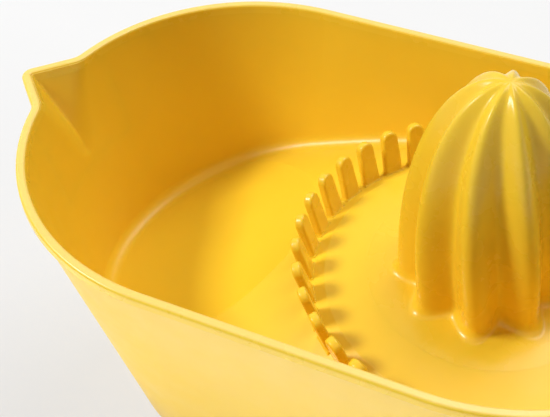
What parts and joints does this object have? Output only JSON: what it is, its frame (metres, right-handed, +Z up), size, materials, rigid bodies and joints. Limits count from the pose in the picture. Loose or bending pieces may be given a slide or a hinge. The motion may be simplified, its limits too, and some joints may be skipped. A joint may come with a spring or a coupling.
{
  "type": "citrus squeezer",
  "caption": "One-piece moulded citrus squeezer: long tub with leaning walls, V spout, fluted reamer on a floor that slopes to a well, and an arc of slats that holds back pips.",
  "frame": {"origin": "on the table, under the centre of the bounding box", "axes": "+X along the tub from the pouring spout to the reamer, +Y across it, +Z up from the foot"},
  "size_m": [0.1904, 0.1156, 0.1307],
  "materials": {
    "body": "satin-gloss injection moulded, coloured right through"
  },
  "bodies": {
    "root": {"tub": "body", "rim": "body", "pouring_spout": "body", "reamer": "body", "foot": "body", "slat_01": "body", "slat_02": "body", "slat_03": "body", "slat_04": "body", "slat_05": "body", "slat_06": "body", "slat_07": "body", "slat_08": "body", "slat_09": "body", "slat_10": "body", "slat_11": "body", "slat_12": "body", "slat_13": "body", "slat_14": "body", "slat_15": "body"}
  },
  "joints": []
}
